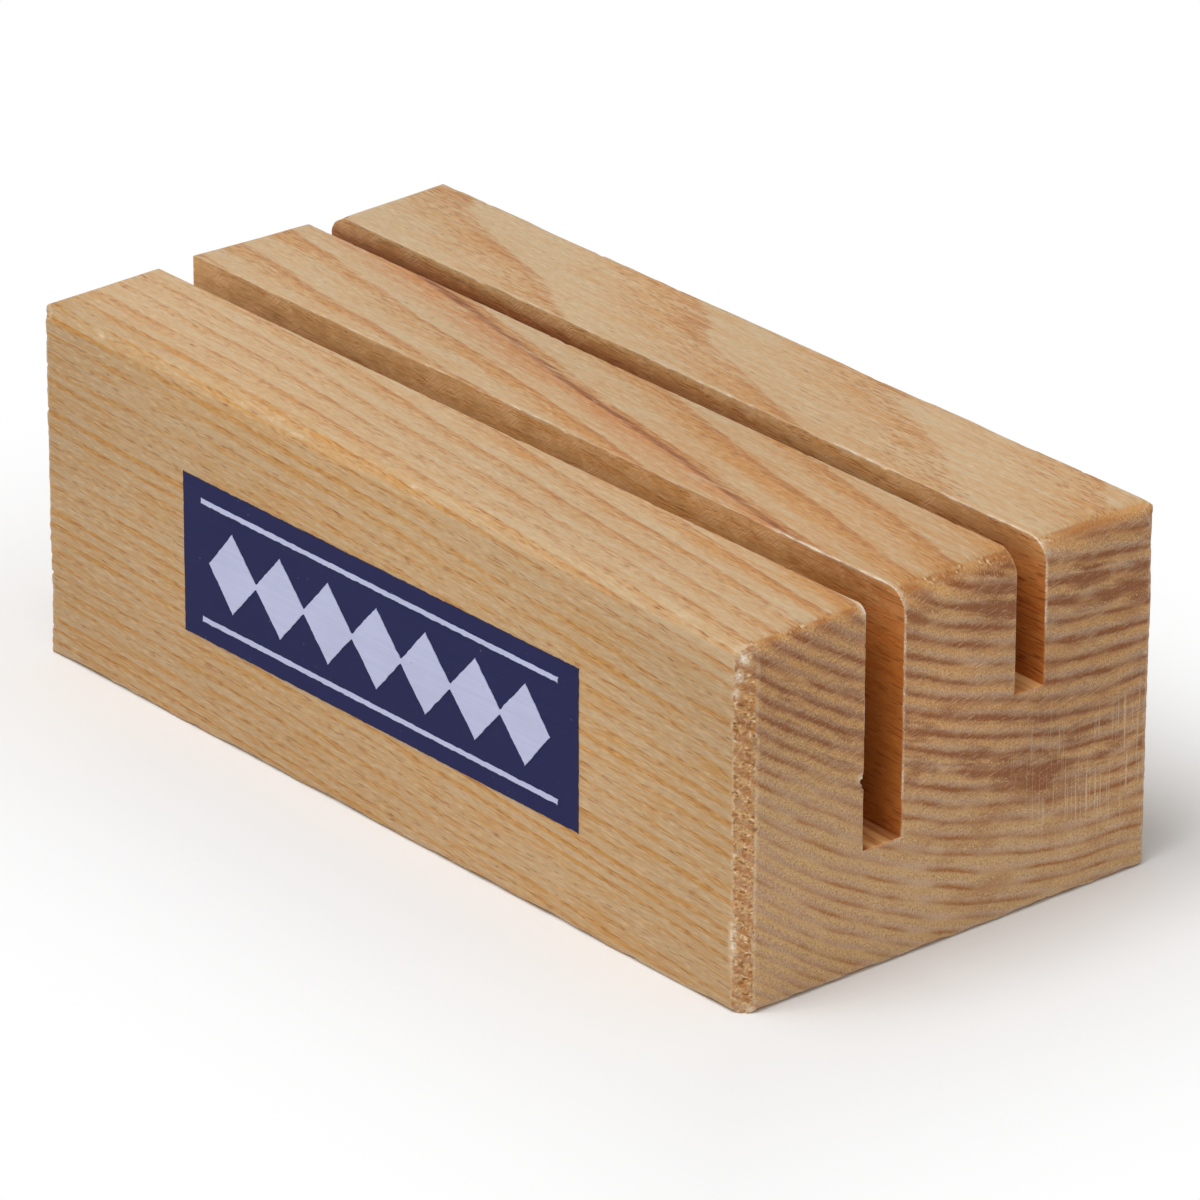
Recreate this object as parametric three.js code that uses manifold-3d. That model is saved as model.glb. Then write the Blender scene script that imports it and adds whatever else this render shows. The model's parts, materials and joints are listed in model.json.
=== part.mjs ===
// Table card holder: one solid block of ash with two through slots and a two-colour print on its front.
// Millimetres. X runs along the slots, Y from the printed front to the back, Z up from the table.
import * as THREE from 'three';
import { mergeVertices } from 'three/addons/utils/BufferGeometryUtils.js';
import Module from 'manifold-3d';

// Driving dimensions of the block.
const LENGTH = 145;
const HEIGHT = 51;

// Walls and slots in their order from front to back, which together make the depth of the block.
const FRONT_WALL = 20;
const WIDE_SLOT = 6.5;
const MIDDLE_WALL = 19;
const NARROW_SLOT = 5;
const BACK_WALL = 20;

// How far each slot is sawn down from the top.
const WIDE_SLOT_DEPTH = 34;
const NARROW_SLOT_DEPTH = 20;

// How the edges are broken.
const UPRIGHT_CHAMFER = 2;
const TOP_CHAMFER = 1.5;
const FOOT_CHAMFER = 0.6;
const SLOT_MOUTH_CHAMFER = 0.5;
const END_ROUND = 2.5;
const ROUND_STEPS = 8;

// Print in the middle of the front face: a dark ground, and on it two pale rules and a row of lozenges.
const GROUND_LENGTH = 81.5;
const GROUND_HEIGHT = 23.2;
const GROUND_FILM = 0.1;
const PALE_FILM = 0.1;
const RULE_END_MARGIN = 4;
const RULE_EDGE_MARGIN = 2.6;
const RULE_WIDTH = 0.9;
const LOZENGE_COUNT = 7;
const LOZENGE_END_MARGIN = 5.5;
const LOZENGE_RULE_GAP = 2.2;
const LOZENGE_NECK = 0.8;

// Places worked out from the driving dimensions.
const DEPTH = FRONT_WALL + WIDE_SLOT + MIDDLE_WALL + NARROW_SLOT + BACK_WALL;
const FRONT = -DEPTH / 2;
const BACK = DEPTH / 2;
const WIDE_SLOT_FRONT = FRONT + FRONT_WALL;
const WIDE_SLOT_BACK = WIDE_SLOT_FRONT + WIDE_SLOT;
const NARROW_SLOT_FRONT = WIDE_SLOT_BACK + MIDDLE_WALL;
const NARROW_SLOT_BACK = NARROW_SLOT_FRONT + NARROW_SLOT;

// An outline that only bounds the block in its own plane is extruded this far past it on both sides.
const OVERRUN = 5;

const ash = new THREE.MeshStandardMaterial({ color: 0xc9a36c, roughness: 0.5, metalness: 0 });
const navyInk = new THREE.MeshStandardMaterial({ color: 0x2b2d57, roughness: 0.6, metalness: 0 });
const paleInk = new THREE.MeshStandardMaterial({ color: 0xbec2e0, roughness: 0.6, metalness: 0 });

const wasm = await Module();
wasm.setup();

const alongX = new THREE.Vector3(1, 0, 0);
const alongY = new THREE.Vector3(0, 1, 0);
const alongZ = new THREE.Vector3(0, 0, 1);

// Extrudes an outline to a thickness. The basis says where its across, up and thickness directions go.
function extrudeOutline(shape, thickness, start, across, up, through) {
  const geometry = new THREE.ExtrudeGeometry(shape, {
    depth: thickness,
    bevelEnabled: false,
    curveSegments: ROUND_STEPS,
  });
  geometry.translate(0, 0, start);
  geometry.applyMatrix4(new THREE.Matrix4().makeBasis(across, up, through));
  return geometry;
}

// Turns a closed geometry into a solid that can be intersected.
function toSolid(geometry) {
  const bare = geometry.clone();
  bare.deleteAttribute('normal');
  bare.deleteAttribute('uv');
  const merged = mergeVertices(bare);
  const vertProperties = new Float32Array(merged.attributes.position.array);
  const triVerts = new Uint32Array(merged.index.array);
  return new wasm.Manifold(new wasm.Mesh({ numProp: 3, vertProperties, triVerts }));
}

// Turns a solid back into a geometry.
function toGeometry(solid) {
  const mesh = solid.getMesh();
  const geometry = new THREE.BufferGeometry();
  geometry.setAttribute('position', new THREE.BufferAttribute(mesh.vertProperties, 3));
  geometry.setIndex(new THREE.BufferAttribute(mesh.triVerts, 1));
  geometry.computeVertexNormals();
  return geometry;
}

function namedMesh(name, geometry, material) {
  const mesh = new THREE.Mesh(geometry, material);
  mesh.name = name;
  return mesh;
}

// Section across the slots: eased foot, chamfered long top edges and the two slots with broken mouths.
function sectionOutline() {
  const shape = new THREE.Shape();
  shape.moveTo(FRONT + FOOT_CHAMFER, 0);
  shape.lineTo(BACK - FOOT_CHAMFER, 0);
  shape.lineTo(BACK, FOOT_CHAMFER);
  shape.lineTo(BACK, HEIGHT - TOP_CHAMFER);
  shape.lineTo(BACK - TOP_CHAMFER, HEIGHT);
  traceSlot(shape, NARROW_SLOT_BACK, NARROW_SLOT_FRONT, NARROW_SLOT_DEPTH);
  traceSlot(shape, WIDE_SLOT_BACK, WIDE_SLOT_FRONT, WIDE_SLOT_DEPTH);
  shape.lineTo(FRONT + TOP_CHAMFER, HEIGHT);
  shape.lineTo(FRONT, HEIGHT - TOP_CHAMFER);
  shape.lineTo(FRONT, FOOT_CHAMFER);
  shape.closePath();
  return shape;
}

// Leads an outline down one slot's back wall, along its floor and up its front wall.
function traceSlot(shape, back, front, slotDepth) {
  shape.lineTo(back + SLOT_MOUTH_CHAMFER, HEIGHT);
  shape.lineTo(back, HEIGHT - SLOT_MOUTH_CHAMFER);
  shape.lineTo(back, HEIGHT - slotDepth);
  shape.lineTo(front, HEIGHT - slotDepth);
  shape.lineTo(front, HEIGHT - SLOT_MOUTH_CHAMFER);
  shape.lineTo(front - SLOT_MOUTH_CHAMFER, HEIGHT);
}

// Plan of the block: a rectangle with its four upright edges chamfered.
function planOutline() {
  const end = LENGTH / 2;
  const shape = new THREE.Shape();
  shape.moveTo(-end + UPRIGHT_CHAMFER, FRONT);
  shape.lineTo(end - UPRIGHT_CHAMFER, FRONT);
  shape.lineTo(end, FRONT + UPRIGHT_CHAMFER);
  shape.lineTo(end, BACK - UPRIGHT_CHAMFER);
  shape.lineTo(end - UPRIGHT_CHAMFER, BACK);
  shape.lineTo(-end + UPRIGHT_CHAMFER, BACK);
  shape.lineTo(-end, BACK - UPRIGHT_CHAMFER);
  shape.lineTo(-end, FRONT + UPRIGHT_CHAMFER);
  shape.closePath();
  return shape;
}

// Side view of the block: eased foot, and both ends rounded over at the top.
function sideOutline() {
  const end = LENGTH / 2;
  const shape = new THREE.Shape();
  shape.moveTo(-end + FOOT_CHAMFER, 0);
  shape.lineTo(end - FOOT_CHAMFER, 0);
  shape.lineTo(end, FOOT_CHAMFER);
  shape.absarc(end - END_ROUND, HEIGHT - END_ROUND, END_ROUND, 0, Math.PI / 2, false);
  shape.absarc(-end + END_ROUND, HEIGHT - END_ROUND, END_ROUND, Math.PI / 2, Math.PI, false);
  shape.lineTo(-end, FOOT_CHAMFER);
  shape.closePath();
  return shape;
}

// The block is what its section, its plan and its side view have in common.
function holderBlock() {
  const longRun = LENGTH + 2 * OVERRUN;
  const deepRun = DEPTH + 2 * OVERRUN;
  const tallRun = HEIGHT + 2 * OVERRUN;
  const behind = alongY.clone().negate();
  const section = extrudeOutline(sectionOutline(), longRun, -longRun / 2, alongY, alongZ, alongX);
  const plan = extrudeOutline(planOutline(), tallRun, -OVERRUN, alongX, alongY, alongZ);
  const side = extrudeOutline(sideOutline(), deepRun, -deepRun / 2, alongX, alongZ, behind);
  const solid = toSolid(section).intersect(toSolid(plan)).intersect(toSolid(side));
  return namedMesh('holder_block', toGeometry(solid), ash);
}

// Lays a film of ink on the front, a given height of film above the wood, from an outline in X and Z.
function inkFilm(name, shape, film, under, material) {
  const outward = alongY.clone().negate();
  const geometry = extrudeOutline(shape, film, -FRONT + under, alongX, alongZ, outward);
  return namedMesh(name, geometry, material);
}

function rectangle(left, bottom, right, top) {
  const shape = new THREE.Shape();
  shape.moveTo(left, bottom);
  shape.lineTo(right, bottom);
  shape.lineTo(right, top);
  shape.lineTo(left, top);
  shape.closePath();
  return shape;
}

// Row of lozenges that join at narrow necks, traced along its upper edge and back along its lower edge.
function lozengeRow(middle, halfLength, halfHeight) {
  const pitch = (2 * halfLength) / LOZENGE_COUNT;
  const upper = [];
  for (let i = 0; i < LOZENGE_COUNT; i += 1) {
    const left = -halfLength + i * pitch;
    upper.push([left, i === 0 ? 0 : LOZENGE_NECK / 2]);
    upper.push([left + pitch / 2, halfHeight]);
  }
  upper.push([halfLength, 0]);
  const lower = upper.slice(1, -1).reverse();
  const shape = new THREE.Shape();
  shape.moveTo(upper[0][0], middle);
  for (const [x, rise] of upper.slice(1)) {
    shape.lineTo(x, middle + rise);
  }
  for (const [x, rise] of lower) {
    shape.lineTo(x, middle - rise);
  }
  shape.closePath();
  return shape;
}

// The print: the ground lies on the wood, and the pale second colour lies on the ground.
function printFilms() {
  const middle = HEIGHT / 2;
  const halfLength = GROUND_LENGTH / 2;
  const halfHeight = GROUND_HEIGHT / 2;
  const ground = rectangle(-halfLength, middle - halfHeight, halfLength, middle + halfHeight);

  const ruleEnd = halfLength - RULE_END_MARGIN;
  const ruleOuter = halfHeight - RULE_EDGE_MARGIN;
  const ruleInner = ruleOuter - RULE_WIDTH;
  const upperRule = rectangle(-ruleEnd, middle + ruleInner, ruleEnd, middle + ruleOuter);
  const lowerRule = rectangle(-ruleEnd, middle - ruleOuter, ruleEnd, middle - ruleInner);
  const row = lozengeRow(middle, halfLength - LOZENGE_END_MARGIN, ruleInner - LOZENGE_RULE_GAP);

  return [
    inkFilm('print_ground', ground, GROUND_FILM, 0, navyInk),
    inkFilm('print_rule_upper', upperRule, PALE_FILM, GROUND_FILM, paleInk),
    inkFilm('print_rule_lower', lowerRule, PALE_FILM, GROUND_FILM, paleInk),
    inkFilm('print_lozenge_row', row, PALE_FILM, GROUND_FILM, paleInk),
  ];
}

const cardHolder = new THREE.Group();
cardHolder.add(holderBlock());
cardHolder.add(...printFilms());

export default cardHolder;
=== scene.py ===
"""Looks of a wooden table card holder: a slotted block of lacquered ash with a print on its front."""

import json
import math

import bpy
import numpy as np
from mathutils import Matrix, Vector


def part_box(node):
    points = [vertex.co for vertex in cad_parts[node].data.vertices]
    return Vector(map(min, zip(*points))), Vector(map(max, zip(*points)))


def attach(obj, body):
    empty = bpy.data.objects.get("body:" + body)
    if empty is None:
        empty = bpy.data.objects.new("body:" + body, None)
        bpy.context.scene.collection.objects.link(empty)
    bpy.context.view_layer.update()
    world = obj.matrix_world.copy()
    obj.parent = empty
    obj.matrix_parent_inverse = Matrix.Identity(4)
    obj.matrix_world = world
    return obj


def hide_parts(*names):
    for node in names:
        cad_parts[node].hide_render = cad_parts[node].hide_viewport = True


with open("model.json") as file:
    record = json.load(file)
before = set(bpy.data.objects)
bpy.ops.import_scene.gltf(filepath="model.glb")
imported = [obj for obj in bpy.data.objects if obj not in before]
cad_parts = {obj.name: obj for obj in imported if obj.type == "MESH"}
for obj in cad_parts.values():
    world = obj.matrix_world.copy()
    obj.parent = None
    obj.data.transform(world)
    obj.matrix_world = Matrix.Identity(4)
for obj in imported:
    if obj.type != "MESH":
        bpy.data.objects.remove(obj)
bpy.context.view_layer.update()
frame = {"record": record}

# Sizes are in millimetres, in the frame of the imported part: X along the slots, Y to the back, Z up.
MM = 0.001
LOW, HIGH = (np.array(corner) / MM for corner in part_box("holder_block"))
LENGTH, DEPTH, HEIGHT = HIGH - LOW
FRONT, BACK = LOW[1], HIGH[1]
END = LENGTH / 2
MOUNTS = {mount["name"]: mount for mount in frame["record"]["mounts"]}


class Slot:
    """One saw slot: its two walls and its floor, from the mount on the floor and the slot's width."""

    def __init__(self, mount, width):
        middle, floor = (value / MM for value in MOUNTS[mount]["pos_m"][1:])
        self.front = middle - width / 2
        self.back = middle + width / 2
        self.floor = floor


WIDE = Slot("wide_slot_floor", 6.5)
NARROW = Slot("narrow_slot_floor", 5.0)

# How the edges are broken.
UPRIGHT_CHAMFER = 2.0
TOP_CHAMFER = 1.5
TOP_ROUND = 1.3 * TOP_CHAMFER
FOOT_CHAMFER = 0.6
SLOT_TOP_CHAMFER = 0.12
SLOT_END_CHAMFER = 0.15
SLOT_FLOOR_CHAMFER = 0.2

# How far the ends are rounded over at the top: at the front, at the four slot walls and at the back.
ROUND_PLACES = (FRONT, WIDE.front, WIDE.back, NARROW.front, NARROW.back, BACK)
RIGHT_ROUNDS = (2.0, 2.0, 3.9, 4.0, 3.9, 3.4)
LEFT_ROUNDS = (2.2, 1.6, 0.8, 2.2, 3.9, 2.4)

# Growth rings: surfaces that rise to the front and to the left, with years that get wider upwards.
RING_TILT = 0.3625
RING_BEND = 0.005135
RING_TWIST = 0.00125
RING_FALL = 0.0704
RING_FALL_GAIN = 0.000134
YEAR_WIDTH = 2.0
YEAR_GAIN = 0.0178
FIRST_YEAR = 1.285
HEART_YEAR = -17.78
LUCKY_YEARS = 951

# Fibres run a little askew to the block: how far they go to the front and down for each step to the right.
GRAIN_SKEW = 0.045
GRAIN_FALL = 0.055

# What a year brings from its beginning, 0, to its close, 1: pairs of when and how much.
EARLY_WOOD = ((0, 0.3), (0.05, 0.85), (0.14, 1), (0.32, 0.75), (0.52, 0.25), (0.72, 0), (1, 0))
LATE_WOOD = ((0, 0.5), (0.1, 0.15), (0.25, 0.05), (0.45, 0.5), (0.65, 0.95), (0.85, 1), (1, 0.5))
YEAR_SEAM = ((0, 0.3), (0.03, 1), (0.1, 0.9), (0.2, 0), (1, 0))
GREY_BAND = ((0, 0.15), (0.12, 0.1), (0.35, 0.85), (0.5, 1), (0.66, 0.9), (0.8, 0.3), (1, 0.15))
CLOSING_LINE = ((0, 0), (0.42, 0), (0.6, 0.55), (0.7, 1), (0.78, 0.8), (0.87, 0.15), (1, 0))


def srgb(red, green, blue):
    """A colour as a screen shows it, from 0 to 255, as the linear colour that a shader takes."""
    shares = [value / 255 for value in (red, green, blue)]
    return tuple(s / 12.92 if s <= 0.04045 else ((s + 0.055) / 1.055) ** 2.4 for s in shares) + (1.0,)


# Colours of the long faces. Inner and outer say which years of the tree a colour belongs to.
PALE_INNER = srgb(197, 168, 129)
PALE_OUTER = srgb(192, 160, 119)
GOLDEN_INNER = srgb(192, 136, 72)
GOLDEN_OUTER = srgb(191, 139, 70)
SEAM = srgb(168, 108, 56)
HEART_GLOW = srgb(186, 118, 60)
HEART_LINE = srgb(132, 68, 16)
VESSEL = srgb(156, 98, 50)
FILLED_VESSEL = srgb(220, 197, 163)
OPEN_VESSEL = srgb(122, 74, 38)

# Colours of the ends.
BAND_GOLDEN_INNER = srgb(220, 166, 102)
BAND_GOLDEN_OUTER = srgb(213, 172, 117)
BAND_GREY_INNER = srgb(190, 149, 116)
BAND_GREY_OUTER = srgb(197, 160, 127)
BAND_GREY_REAR = srgb(212, 180, 150)
RUST_INNER = srgb(154, 92, 48)
RUST_OUTER = srgb(170, 110, 56)
BROWN_CLOUD = srgb(150, 92, 52)
PALE_SPECK = srgb(228, 194, 156)
DARK_SPECK = srgb(144, 92, 56)
DARK_STROKE = srgb(140, 92, 58)
PALE_STROKE = srgb(214, 180, 146)
PORE = srgb(154, 100, 56)
FILLED_PORE = srgb(232, 198, 154)
SCRATCH = srgb(228, 202, 170)

# Colours of the edges.
SOAKED_EARLY = srgb(206, 156, 98)
SOAKED_LATE = srgb(174, 108, 44)
SOAKED_LEFT = srgb(182, 150, 124)
DARK_PIT = srgb(108, 56, 20)
PALE_PIT = srgb(240, 218, 188)
PALE_FIBRES = srgb(230, 208, 178)
WHITE_FIBRES = srgb(240, 228, 214)
HOLE = srgb(112, 58, 24)

# Colours of the slots, and tints that paint into a colour the shade and the warm light thrown back and forth
# in them, on top of the raw wood's own deeper orange.
SAWN_WOOD = srgb(212, 168, 118)
SAWN_DASH = srgb(118, 62, 24)
SAWN_PIT = srgb(116, 66, 32)
SAWN_VESSEL = srgb(226, 186, 136)
SAWN_PATCH = srgb(216, 184, 148)
SAWN_TUFT = srgb(226, 200, 164)
FLOOR_PALE = srgb(234, 182, 118)
FLOOR_DARK = srgb(200, 128, 64)
FLOOR_CORNER_SHADE = srgb(150, 76, 30)
MOUTH_WOOD_AND_LIGHT_TINT = (1.14, 1.04, 0.86, 1)
DEEP_WOOD_AND_SHADE_TINT = (0.77, 0.42, 0.155, 1)
NARROW_SHADE_TINT = (0.68, 0.45, 0.35, 1)

# Colours of the inks, and of the flecks where they lie thin.
NAVY = srgb(38, 40, 80)
NAVY_FLECK = srgb(120, 104, 96)
PALE_INK = srgb(190, 193, 222)
PALE_INK_FLECK = srgb(120, 122, 150)


class Field:
    """A number that varies over a surface: an output in a node graph, with plain arithmetic."""

    def __init__(self, graph, socket):
        self.graph = graph
        self.socket = socket

    def __add__(self, other):
        return self.graph.math("ADD", self, other)

    def __sub__(self, other):
        return self.graph.math("SUBTRACT", self, other)

    def __rsub__(self, other):
        return self.graph.math("SUBTRACT", other, self)

    def __mul__(self, other):
        return self.graph.math("MULTIPLY", self, other)

    def __truediv__(self, other):
        return self.graph.math("DIVIDE", self, other)

    def __abs__(self):
        return self.graph.math("ABSOLUTE", self)

    __radd__ = __add__
    __rmul__ = __mul__


class Graph:
    """A material's node graph, where each call adds one step and gives its result."""

    def __init__(self, name):
        self.material = bpy.data.materials.new(name)
        self.material.use_nodes = True
        self.tree = self.material.node_tree
        self.shader = self.tree.nodes["Principled BSDF"]

    @classmethod
    def of_tree(cls, tree):
        """A graph on the nodes of something that isn't a material."""
        graph = cls.__new__(cls)
        graph.tree = tree
        return graph

    def node(self, kind, **settings):
        node = self.tree.nodes.new("ShaderNode" + kind)
        for name, value in settings.items():
            setattr(node, name, value)
        return node

    def feed(self, socket, value):
        if isinstance(value, Field):
            self.tree.links.new(value.socket, socket)
        else:
            socket.default_value = value

    def math(self, operation, *values):
        node = self.node("Math", operation=operation)
        for socket, value in zip(node.inputs, values):
            self.feed(socket, value)
        return Field(self, node.outputs[0])

    def vector(self, *parts):
        node = self.node("CombineXYZ")
        for socket, value in zip(node.inputs, parts):
            self.feed(socket, value)
        return Field(self, node.outputs[0])

    def parts(self, kind, output):
        """The three parts of a vector that the surface has, such as its place or its direction."""
        split = self.node("SeparateXYZ")
        self.tree.links.new(self.node(kind).outputs[output], split.inputs[0])
        return [Field(self, socket) for socket in split.outputs]

    def millimetres(self):
        return [part / MM for part in self.parts("TexCoord", "Object")]

    def attribute(self, name):
        return Field(self, self.node("Attribute", attribute_name=name).outputs["Fac"])

    def noise(self, x, y, z, detail=0.0):
        """Smooth noise about 0 with one swing per unit."""
        node = self.node("TexNoise")
        self.feed(node.inputs["Vector"], self.vector(x, y, z))
        self.feed(node.inputs["Scale"], 1.0)
        self.feed(node.inputs["Detail"], detail)
        return Field(self, node.outputs["Fac"]) - 0.5

    def chance(self, value):
        """A number from 0 to 1 by lot, the same wherever the value is the same."""
        node = self.node("TexWhiteNoise", noise_dimensions="1D")
        self.feed(node.inputs["W"], value)
        return Field(self, node.outputs["Value"])

    def step(self, low, high, value):
        """Goes smoothly from 0 to 1 as the value goes from low to high."""
        node = self.node("MapRange", interpolation_type="SMOOTHSTEP")
        for name, given in (("Value", value), ("From Min", low), ("From Max", high)):
            self.feed(node.inputs[name], given)
        return Field(self, node.outputs["Result"])

    def curve(self, value, points):
        """Straight lines through points (place, height), for a value from 0 to 1."""
        node = self.node("ValToRGB")
        stops = node.color_ramp.elements
        while len(stops) < len(points):
            stops.new(0.5)
        for stop, (place, height) in zip(stops, points):
            stop.position = place
            stop.color = (height, height, height, 1)
        self.feed(node.inputs[0], value)
        return Field(self, node.outputs["Color"])

    def clip(self, value):
        return self.math("MINIMUM", self.math("MAXIMUM", value, 0.0), 1.0)

    def mix(self, share, first, second, blend="MIX"):
        node = self.node("Mix", data_type="RGBA", blend_type=blend)
        for socket, value in zip((node.inputs[0], node.inputs[6], node.inputs[7]), (share, first, second)):
            self.feed(socket, value)
        return Field(self, node.outputs[2])

    def tint(self, colour, by):
        """A colour times another one."""
        return self.mix(1.0, colour, by, "MULTIPLY")

    def brighten(self, colour, factor):
        """A colour times a number that varies over the surface."""
        return self.tint(colour, self.vector(factor, factor, factor))

    def bump(self, height):
        """Tilts the surface by a height in millimetres."""
        node = self.node("Bump")
        self.feed(node.inputs["Distance"], MM)
        self.feed(node.inputs["Height"], height)
        self.tree.links.new(node.outputs["Normal"], self.shader.inputs["Normal"])


def growth_of(graph, x, y, z, ragged_edge):
    """Years of growth at a place, counted outward, which is down: a whole number where a year begins.

    Also gives the level of the place across the rings, in millimetres. ragged_edge says how far the
    rings stray at the scale of single pores.
    """
    wander = graph.noise(x / 55, y / 18, z / 18)
    waver = graph.noise(x / 30, y / 7, z / 7)
    fuzz = graph.noise(x / 5, y / 0.35, z / 0.35)
    along = RING_FALL * (x - END) + RING_FALL_GAIN * (x * x - END * END)
    across = RING_TILT * y - RING_BEND * (y * y) + RING_TWIST * (y * (z - HEIGHT / 2))
    level = z + along + across + 1.5 * wander + 0.8 * waver + ragged_edge * fuzz
    years = graph.math("LOGARITHM", level * (YEAR_GAIN / YEAR_WIDTH) + 1.0, math.e) / YEAR_GAIN
    return FIRST_YEAR - years, level


class Wood:
    """Fields that the surfaces of the block share: places, growth, fibres and marks of the tools."""

    def __init__(self, graph):
        self.graph = graph
        self.x, self.y, self.z = graph.millimetres()
        to_right, _, self.upward = graph.parts("TexCoord", "Normal")
        self.end = graph.step(0.3, 0.85, abs(to_right))
        self.edge = 4.0 * self.end * (1.0 - self.end)
        self.inside = graph.step(0.15, 0.8, graph.attribute("sawn"))
        self.add_years()
        self.add_fibres()
        self.add_end_marks()
        self.add_saw_marks()

    def add_years(self):
        graph = self.graph
        self.growth, self.level = growth_of(graph, self.x, self.y, self.z, 0.2 + 0.2 * self.end)
        self.year = graph.math("FLOOR", self.growth)
        self.phase = self.growth - self.year
        self.luck = graph.chance(self.year + LUCKY_YEARS)
        self.early = graph.curve(self.phase, EARLY_WOOD)
        self.late = graph.curve(self.phase, LATE_WOOD)
        self.grey = graph.curve(self.phase, GREY_BAND)

    def add_fibres(self):
        """Streaks along the grain, from broad ones to single fibres, and the vessels among them."""
        graph, x = self.graph, self.x
        across = self.y + GRAIN_SKEW * x
        up = self.z + GRAIN_FALL * x
        self.ebb = graph.noise(x / 40, across / 5, up / 5)
        self.broad = graph.noise(x / 60, across / 1.6, up / 1.6, 1.0)
        self.line = graph.noise(x / 13, across / 0.55, up / 0.55, 1.0)
        self.fibre = graph.noise(x / 1.4, across / 0.16, up / 0.16, 1.0)
        self.tube = graph.noise(x / 1.8, across / 0.25, up / 0.25)
        self.vessel = graph.step(0.08, 0.2, self.tube) * (0.2 + 0.8 * self.early)
        self.filled = graph.step(-0.1, -0.22, self.tube)

    def add_end_marks(self):
        """Weave, clouds and saw strokes of the ends, and where their inner, outer and rear parts are."""
        graph, x, y, z = self.graph, self.x, self.y, self.z
        self.weave = graph.noise(x / 4, y / 0.32, z / 0.26, 1.0)
        self.mottle = graph.noise(x / 20, y / 9, z / 4.5, 2.0)
        self.blush = graph.noise(x / 20, y / 5, self.level / 0.9, 1.0)
        self.strength = graph.noise(x / 20, y / 6, self.year * 0.7, 1.0)
        self.strokes = graph.noise(x / 4, (y + 0.19 * z) / 2.4, (z - 0.19 * y) / 0.23, 1.0)
        self.outer_years = graph.step(-12, -4, self.growth)
        self.inner_years = graph.step(-3, -9, self.growth)
        self.rear = graph.step(-20, 0, y)

    def add_saw_marks(self):
        """Pits of the edges, and slanting hairs in rough patches of the slot walls."""
        graph, x, y, z = self.graph, self.x, self.y, self.z
        self.pit = graph.noise(x / 0.9, y / 0.4, z / 0.4, 1.0)
        self.hair = graph.noise((x - 1.1 * z) / 0.35, y / 0.3, (x + z) / 3, 1.0)
        self.patch = graph.noise(x / 4, y / 4, z / 2.4, 2.0)
        self.rough = graph.step(-0.05, 0.15, self.patch)


def long_faces(wood):
    """Pale wood with golden streaks, calmer to the left, and a thin line where a year begins."""
    graph, x, y, growth = wood.graph, wood.x, wood.y, wood.growth
    outer = graph.step(-11.5, -8.5, growth)
    by_heart = graph.step(-15, -17, growth)
    to_left = graph.step(-10, -45, x)
    zone = (wood.early - outer * wood.early * (1.0 - wood.early)) * (0.3 + 0.6 * wood.luck + 1.0 * wood.ebb)
    zone = zone * (1.0 - 0.35 * graph.step(-17, -14, growth) + 0.75 * outer)
    zone = zone * (1.0 - 0.3 * graph.step(12, 20, y))
    calm = 1.0 - 0.5 * to_left * graph.step(-18, -15, growth) * (1.0 - outer)
    stain = graph.step(-5, 25, x) * by_heart * graph.step(16, 8, y)
    orange = zone * calm + 0.7 * wood.broad + (1.4 + 0.8 * outer) * wood.line + 0.25 * stain + 0.18
    orange = orange - 0.15 * to_left * by_heart
    pale = graph.mix(outer, PALE_INNER, PALE_OUTER)
    golden = graph.mix(outer, GOLDEN_INNER, GOLDEN_OUTER)
    colour = graph.mix(graph.clip(orange), pale, golden)
    drawn = 0.1 + 0.4 * wood.luck + 0.4 * stain + 1.4 * wood.ebb + 2.4 * wood.line
    seam = graph.clip(graph.curve(wood.phase, YEAR_SEAM) * drawn * (1.0 - 0.6 * outer))
    colour = graph.mix(seam * calm * 0.7, colour, SEAM)
    # Painted light falloff toward the front's ends, with some darker tone elsewhere.
    colour = graph.brighten(colour, 1.0 - painted_falloff_and_tone(wood, outer))
    return cut_vessels(wood, heart_line(wood, colour))


def painted_falloff_and_tone(wood, outer):
    """How much darker the wood is: toward the front's ends a painted light falloff, and on the middle wall
    and at the back wall's left a darker tone.
    """
    graph, x, y = wood.graph, wood.x, wood.y
    # Painted light falloff: the outer years darken toward both ends, and a little more to the left.
    dim = outer * (0.08 * graph.step(35, END, abs(x)) + 0.03 * graph.step(-15, -45, x))
    dim = dim + 0.04 * graph.step(WIDE.front, WIDE.back, y) * graph.step(NARROW.back, NARROW.front, y)
    return dim + 0.03 * graph.step(NARROW.front, NARROW.back, y) * graph.step(-10, -50, x)


def heart_line(wood, colour):
    """The dark line of the heart, with orange wood on its outer side."""
    graph = wood.graph
    from_heart = wood.growth - HEART_YEAR
    glow = graph.step(-0.06, 0.06, from_heart) * graph.step(0.8, 0.1, from_heart)
    core = graph.step(0.11, 0.02, abs(from_heart))
    colour = graph.mix(graph.clip(glow * (0.6 + 1.4 * wood.line + 0.8 * wood.ebb)), colour, HEART_GLOW)
    return graph.mix(graph.clip(core * (0.9 + 2.4 * wood.line + 1.2 * wood.ebb)), colour, HEART_LINE)


def cut_vessels(wood, colour):
    """Vessels cut along their length: short dashes, some of them filled and a few wide open."""
    graph = wood.graph
    colour = graph.mix(wood.vessel * 0.55, colour, VESSEL)
    colour = graph.mix(wood.filled * 0.2, colour, FILLED_VESSEL)
    return graph.mix(graph.step(0.33, 0.37, wood.tube) * 0.7, colour, OPEN_VESSEL)


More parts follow.
